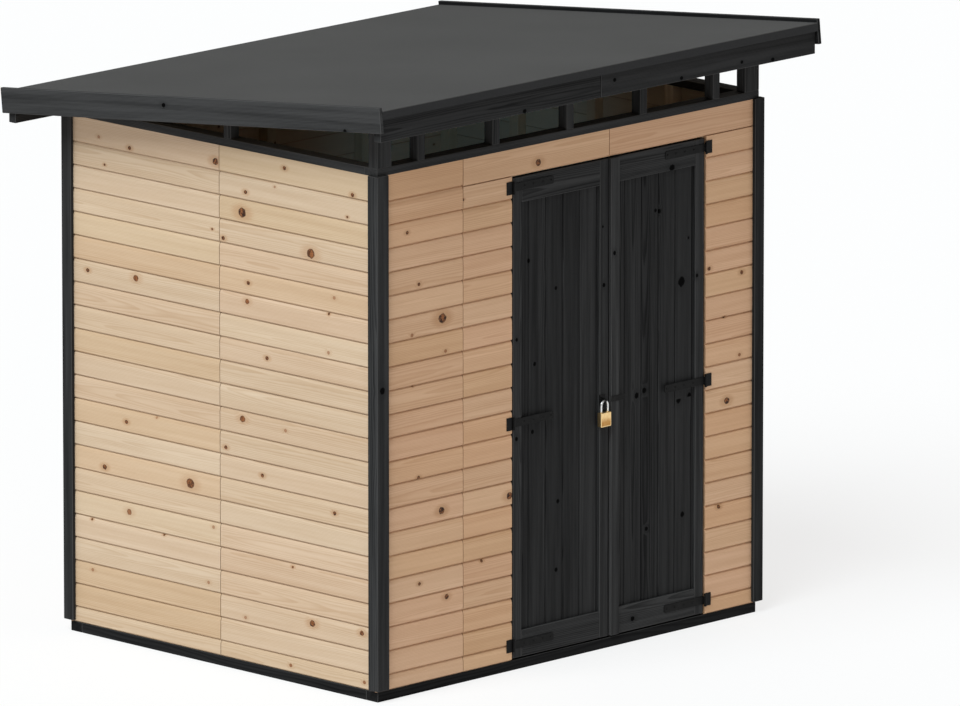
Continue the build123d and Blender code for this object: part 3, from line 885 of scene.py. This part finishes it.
class SHED_OT_floor(bpy.types.Operator):
    """Lays the floor boards across the joists"""

    bl_idname = "shed.floor"
    bl_label = "Floor"

    def execute(self, context):
        sizes = context.scene.shed_boards
        bm = bmesh.new()
        tight = sizes.tight_groove, sizes.tight_slot
        add_boards(bm, "floor_boards", (X, Y, Z), 0.0, sizes.floor_pitch, sizes, tight=tight)
        dress(bm, "floor_boards", density=FLOOR_KNOTS)
        add_piece(bm, "floor_boards_laid", "floor_boards")
        return {"FINISHED"}


class SHED_OT_roof(bpy.types.Operator):
    """Lays the roof boards, the felt and the felt strips turned down over the edges"""

    bl_idname = "shed.roof"
    bl_label = "Roof"

    def execute(self, context):
        sizes = context.scene.shed_boards
        slab = copied("roof_deck")
        slopes = [edge for edge in slab.edges if abs(edge.verts[0].co.x - edge.verts[1].co.x) < MERGE_GAP]
        steepest = max(slopes, key=lambda edge: edge.calc_length())
        uphill = direction(steepest.verts[1].co - steepest.verts[0].co)
        slab.free()
        bm = bmesh.new()
        tight = sizes.tight_groove, sizes.tight_slot
        axes = X, uphill, X.cross(uphill) * -1
        add_boards(bm, "roof_deck", axes, 0.0, sizes.deck_pitch, sizes, tight=tight)
        dress(bm, "roof_deck", density=FRAME_KNOTS)
        add_piece(bm, "roof_deck_boards", "roof_deck")
        for node in ("roof_felt", "front_felt_strip", "back_felt_strip"):
            bm = copied(node)
            ease_edges(bm, sizes.iron_edge, segments=2)
            add_piece(bm, node + "_sheet", node, mineral_felt if node == "roof_felt" else turned_felt)
        return {"FINISHED"}


class SHED_OT_doors(bpy.types.Operator):
    """Makes the two leaves: upright boards behind stiles and rails, and a strip over the meeting edges"""

    bl_idname = "shed.doors"
    bl_label = "Doors"

    def execute(self, context):
        sizes = context.scene.shed_boards
        leaves = (("left", LEFT_LEAF_KNOTS, sizes.left_leaf_groove),
                  ("right", RIGHT_LEAF_KNOTS, sizes.right_leaf_groove))
        for side, places, groove in leaves:
            for node in [node for node in SLOT_OF if node.startswith(side + "_door_")]:
                if node.endswith("_boards"):
                    seed, edges = node, DARK_EDGES
                    bm = bmesh.new()
                    tight = sizes.door_groove, sizes.door_slot
                    add_boards(bm, node, (Z, X, -Y), groove, sizes.door_pitch, sizes, tight=tight)
                else:
                    # The rails' seed, _bar, is picked so that chance makes the top rails darker than the
                    # bottom ones: painted shade under the door head.
                    seed, edges = node + ("_bar" if node.endswith("_rails") else "_timber"), WORN_EDGES
                    bm = copied(node)
                    ease_edges(bm, sizes.edge)
                shown = knots_on(places, X, Y * sum(reach(node, Y)) / 2)
                dress(bm, seed, shown, edges=edges, tint=coats(node))
                add_piece(bm, node + "_stained", node)
        return {"FINISHED"}


def add_screw(bm, point, radius):
    """A low screw head that faces the front, with a dished top."""
    turn = Matrix.Translation(point) @ Matrix.Rotation(math.radians(90), 4, "X")
    head = bmesh.ops.create_cone(bm, cap_ends=True, segments=16, radius1=radius, radius2=radius * SCREW_TOP,
                                 depth=radius * SCREW_HEIGHT, matrix=turn)
    top = {face for vert in head["verts"] for face in vert.link_faces if face.normal.y < -FACING}
    bmesh.ops.inset_region(bm, faces=list(top), thickness=radius * SCREW_INSET, depth=-radius * SCREW_DISH)


class SHED_OT_hinges(bpy.types.Operator):
    """Makes the strap hinges with their screws, and their wall plates"""

    bl_idname = "shed.hinges"
    bl_label = "Hinges"

    def execute(self, context):
        sizes = context.scene.shed_boards
        for node in ("left_hinge_straps", "right_hinge_straps", "hinge_wall_plates"):
            bm = copied(node)
            solids = [[vert.co.copy() for face in group for vert in face.verts] for group in islands(bm)]
            ease_edges(bm, sizes.iron_edge)
            if node.endswith("_straps"):
                for corners in solids:
                    self.screw_down(bm, corners, node.startswith("left"), sizes)
            for face in bm.faces:
                face.smooth = True
            piece = add_piece(bm, node + "_ironwork", node)
            piece.data.set_sharp_from_angle(angle=IRON_CREASE)
        return {"FINISHED"}

    def screw_down(self, bm, corners, on_left, sizes):
        """Screws along the middle of a strap, on its front."""
        (left, right), _, (low, high) = [(min(places), max(places)) for places in zip(*corners)]
        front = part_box("left_door_stiles")[0].y - sizes.strap
        for share in STRAP_SCREWS:
            x = left + (right - left) * (share if on_left else 1 - share)
            y = front - sizes.screw * SCREW_HEIGHT / 2
            add_screw(bm, Vector((x, y, (low + high) / 2)), sizes.screw)


def add_disc(bm, point, rod, shares):
    """A low upright disc on the padlock, sized by the shackle's rod."""
    below, above, height, rise = shares
    bmesh.ops.create_cone(bm, cap_ends=True, segments=28, radius1=rod * below, radius2=rod * above,
                          depth=rod * height, matrix=Matrix.Translation(point + Z * (rod * rise)))


class SHED_OT_lock(bpy.types.Operator):
    """Finishes the hasp, the staple and the padlock"""

    bl_idname = "shed.lock"
    bl_label = "Lock"

    def execute(self, context):
        sizes = context.scene.shed_boards
        bm = copied("hasp")
        ease_edges(bm, sizes.iron_edge)
        add_piece(bm, "hasp_ironwork", "hasp")
        self.cast_body(sizes)
        for node in ("staple", "padlock_shackle"):
            mesh = frame["nodes"][node].data
            for index in range(len(mesh.materials)):
                mesh.materials[index] = finish(node)
        return {"FINISHED"}

    def cast_body(self, sizes):
        """The padlock's body: dished faces, a rim kept pale (polished, and partly a painted highlight),
        collars round the shackle and a key plug.
        """
        bm = copied("padlock_body")
        ease_edges(bm, sizes.lock_edge, segments=3)
        largest = max(face.calc_area() for face in bm.faces)
        panels = [face for face in bm.faces if face.calc_area() > largest * BROAD]
        bmesh.ops.inset_region(bm, faces=panels, thickness=sizes.lock_rim, depth=-sizes.lock_dish,
                               use_even_offset=True)
        low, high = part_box("padlock_body")
        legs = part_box("padlock_shackle")
        rod = legs[1].y - legs[0].y
        middle = (low + high) / 2
        for x in (legs[0].x + rod / 2, legs[1].x - rod / 2):
            add_disc(bm, Vector((x, middle.y, high.z)), rod, COLLAR)
        add_disc(bm, Vector((middle.x, middle.y, low.z)), rod, KEY_PLUG)
        # All but the dished faces are marked as rim, which the brass keeps pale: polished, and partly a
        # painted highlight.
        rim = bm.loops.layers.float.new("rim")
        for face in bm.faces:
            face.smooth = face not in panels
            for loop in face.loops:
                loop[rim] = float(face.smooth)
        body = add_piece(bm, "padlock_body_cast", "padlock_body")
        body.data.set_sharp_from_angle(angle=BRASS_CREASE)


def back_towards(azimuth, elevation):
    """The way from the shed to a lamp or camera; azimuth 0 is straight in front, negative to the left."""
    turn, rise = math.radians(azimuth), math.radians(elevation)
    return Vector((math.sin(turn) * math.cos(rise), -math.cos(turn) * math.cos(rise), math.sin(rise)))


def set_up(scene, device, back, place=(0, 0, 0)):
    """Links a lamp or camera at a place, with a direction at its back."""
    stand = bpy.data.objects.new(device.name, device)
    stand.location = place
    stand.rotation_euler = back.to_track_quat("Z", "Y").to_euler()
    scene.collection.objects.link(stand)
    return stand


class SHED_OT_studio(bpy.types.Operator):
    """Sets up a pale floor, soft light and the camera"""

    bl_idname = "shed.studio"
    bl_label = "Studio"

    def execute(self, context):
        scene, studio = context.scene, context.scene.shed_studio
        scene.view_settings.view_transform = "Standard"
        self.lay_floor(scene, studio)
        self.set_lights(scene, studio)
        self.set_camera(scene, studio)
        return {"FINISHED"}

    def lay_floor(self, scene, studio):
        """A wide floor that glows a little."""
        bm = bmesh.new()
        bmesh.ops.create_grid(bm, x_segments=1, y_segments=1, size=studio.floor_reach)
        mesh = bpy.data.meshes.new("studio_floor")
        bm.to_mesh(mesh)
        bm.free()
        made, start = blank_material("studio_floor")
        surface(start, {"Base Color": (*scene.shed_finishes.ground, 1.0), "Roughness": 0.9,
                        "Specular IOR Level": 0.1, "Emission Color": (1.0, 1.0, 1.0, 1.0),
                        "Emission Strength": studio.glow})
        mesh.materials.append(made)
        ground = bpy.data.objects.new("studio_floor", mesh)
        scene.collection.objects.link(ground)

    def set_lights(self, scene, studio):
        """Even light from all round, a broad main light and a weak lamp inside the shed."""
        scene.world = bpy.data.worlds.new("studio")
        scene.world.use_nodes = True
        sky = scene.world.node_tree.nodes["Background"].inputs
        sky["Color"].default_value = (*studio.sky_colour, 1.0)
        sky["Strength"].default_value = studio.sky
        key = bpy.data.lights.new("key", "SUN")
        key.energy, key.color, key.angle = studio.key, studio.key_colour, math.radians(studio.key_spread)
        set_up(scene, key, back_towards(studio.key_side - 90, studio.key_height))
        fill = bpy.data.lights.new("fill", "SPOT")
        fill.energy, fill.color, fill.shadow_soft_size = studio.fill, studio.fill_colour, studio.fill_reach
        fill.spot_size, fill.spot_blend = math.radians(studio.fill_spread), studio.fill_blend
        set_up(scene, fill, Vector(studio.fill_place) - Vector(studio.fill_aim), studio.fill_place)

    def set_camera(self, scene, studio):
        """A camera far off with a long lens."""
        lens = bpy.data.cameras.new("camera")
        lens.lens, lens.sensor_width, lens.clip_end = studio.lens, SENSOR, SIGHT
        back = back_towards(studio.azimuth, studio.elevation)
        scene.camera = set_up(scene, lens, back, Vector(studio.target) + back * studio.distance)


STEPS = (SHED_OT_wall_boards, SHED_OT_framing, SHED_OT_dark_timbers, SHED_OT_floor, SHED_OT_roof,
         SHED_OT_doors, SHED_OT_hinges, SHED_OT_lock, SHED_OT_studio)


class SHED_PT_sidebar(bpy.types.Panel):
    """Lists the steps that dress the shed"""

    bl_idname = "SHED_PT_sidebar"
    bl_label = "Garden shed"
    bl_space_type = "VIEW_3D"
    bl_region_type = "UI"
    bl_category = "Shed"

    def draw(self, context):
        for step in STEPS:
            self.layout.operator(step.bl_idname)


GROUPS = {"shed_boards": ShedBoardSizes, "shed_finishes": ShedFinishes, "shed_studio": ShedStudio}


def register():
    for kind in (*GROUPS.values(), *STEPS, SHED_PT_sidebar):
        bpy.utils.register_class(kind)
    for name, group in GROUPS.items():
        setattr(bpy.types.Scene, name, bpy.props.PointerProperty(type=group))


def unregister():
    for name in GROUPS:
        delattr(bpy.types.Scene, name)
    for kind in (SHED_PT_sidebar, *reversed(STEPS), *reversed(GROUPS.values())):
        bpy.utils.unregister_class(kind)


def main():
    """Dresses the shed step by step."""
    register()
    for step in STEPS:
        family, name = step.bl_idname.split(".")
        getattr(getattr(bpy.ops, family), name)()


if __name__ == "__main__":
    main()
